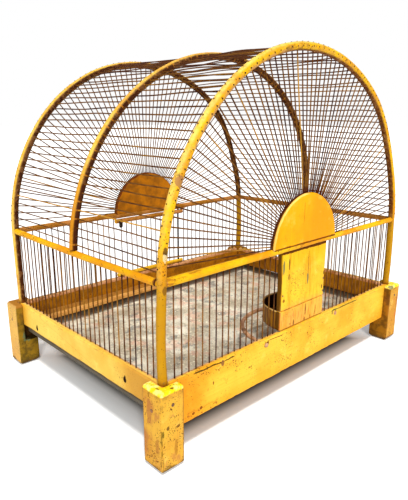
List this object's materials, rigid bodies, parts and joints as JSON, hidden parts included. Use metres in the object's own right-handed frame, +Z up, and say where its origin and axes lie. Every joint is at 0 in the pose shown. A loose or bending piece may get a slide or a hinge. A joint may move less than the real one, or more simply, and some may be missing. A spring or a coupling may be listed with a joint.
{
  "type": "bird cage",
  "caption": "Arched wire bird cage on block legs, with a hinged rear door, a swing-out feeder cup behind a wooden front panel, a perch ring and a slide-out tray.",
  "frame": {"origin": "on the floor under the middle of the cage (bottom centre of the bounding box)", "axes": "+Z up; +X across the arch, from the side the tray leaves to the other; +Y along the barrel roof, from the front gable (panel and feeder) to the rear gable (door)"},
  "size_m": [0.4806, 0.3426, 0.4187],
  "materials": {
    "leg_paint": "old yellow paint, chipped and scuffed, satin",
    "frame_paint": "old creamy yellow paint over wood, worn, satin",
    "hoop_paint": "deep yellow paint on bent cane, dotted with wire holes, satin",
    "waist_paint": "deep yellow paint on round rod, scuffed brown, satin",
    "board_paint": "deep yellow paint, smooth, one fine crack",
    "panel_paint": "yellow paint, scratched, worn pinkish at the foot",
    "wire_iron": "rusty iron wire",
    "perch_cane": "bare bent cane",
    "batten_wood": "thinly painted softwood",
    "tray_zinc": "mottled grey-white sheet metal, dull",
    "door_wood": "bare brown dowel with traces of paint",
    "hinge_iron": "dark iron rod",
    "catch_iron": "dark iron strip",
    "nail_iron": "dark iron nail",
    "pin_steel": "bare steel wire",
    "cup_tin": "ochre paint on tin, rubbed",
    "cup_wood": "dark stained wood"
  },
  "bodies": {
    "cage": {"door_hinge_rod": "hinge_iron", "feeder_hinge_pins": "pin_steel", "front_panel": "panel_paint", "front_wires_left": "wire_iron", "front_wires_right": "wire_iron", "gable_board_front": "board_paint", "gable_board_rear": "board_paint", "gable_wires_front": "wire_iron", "gable_wires_rear": "wire_iron", "hoop_front": "hoop_paint", "hoop_middle": "hoop_paint", "hoop_rear": "hoop_paint", "leg_front_left": "leg_paint", "leg_front_right": "leg_paint", "leg_nails": "nail_iron", "leg_rear_left": "leg_paint", "leg_rear_right": "leg_paint", "panel_nails": "nail_iron", "perch_ring": "perch_cane", "rail_front": "frame_paint", "rail_left": "frame_paint", "rail_rear": "frame_paint", "rail_right": "frame_paint", "rear_wires_left": "wire_iron", "rear_wires_right": "wire_iron", "roof_wires": "wire_iron", "side_wires_left": "wire_iron", "side_wires_right": "wire_iron", "tray_guide_front": "batten_wood", "tray_guide_rear": "batten_wood", "tray_runner_front": "batten_wood", "tray_runner_rear": "batten_wood", "waist_rail_front": "waist_paint", "waist_rail_left": "waist_paint", "waist_rail_rear": "waist_paint", "waist_rail_right": "waist_paint"},
    "tray": {"tray": "tray_zinc"},
    "door": {"door_bottom_bar": "door_wood", "door_catch_nail": "nail_iron", "door_top_bar": "waist_paint", "door_wires": "wire_iron"},
    "door_catch": {"door_catch": "catch_iron"},
    "feeder": {"feeder_cup": "cup_tin", "feeder_cup_floor": "cup_wood", "feeder_cup_nails": "nail_iron", "feeder_front": "panel_paint"}
  },
  "joints": [
    {"name": "tray_slide", "type": "slide", "parent": "cage", "child": "tray", "axis": [-1, 0, 0], "range_m": [0, 0.4]},
    {"name": "door_hinge", "type": "hinge", "parent": "cage", "child": "door", "pos_m": [0.067, 0.155, 0.1365], "axis": [0, 0, -1], "range_deg": [0, 110]},
    {"name": "door_catch_turn", "type": "hinge", "parent": "door", "child": "door_catch", "pos_m": [-0.056, 0.15015, 0.1805], "axis": [0, -1, 0], "range_deg": [0, 180]},
    {"name": "feeder_hinge", "type": "hinge", "parent": "cage", "child": "feeder", "pos_m": [-0.0432, -0.15435, 0.102], "axis": [0, 0, -1], "range_deg": [0, 95]}
  ]
}
